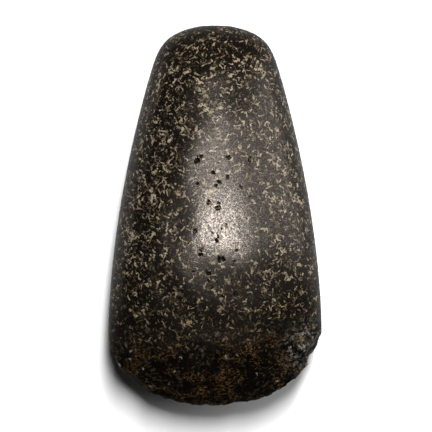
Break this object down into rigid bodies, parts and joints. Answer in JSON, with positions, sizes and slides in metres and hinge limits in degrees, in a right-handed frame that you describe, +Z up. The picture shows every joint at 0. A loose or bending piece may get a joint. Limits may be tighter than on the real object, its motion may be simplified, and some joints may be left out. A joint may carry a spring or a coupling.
{
  "type": "polished stone axe head",
  "caption": "Ground and polished stone axe head with a rounded butt, swelling sides and a broad curved cutting edge, worn and chipped.",
  "frame": {"origin": "under the middle of the axe's outline, on the surface that it lies on", "axes": "+X across the cutting edge, +Y from the cutting edge to the butt, +Z up through the thickness as the axe lies on one face"},
  "size_m": [0.0728, 0.1296, 0.0418],
  "materials": {
    "stone": "ground and polished near-black stone with cream speckles, rough and brown-stained at the blade"
  },
  "bodies": {
    "root": {"axe_head": "stone"}
  },
  "joints": []
}
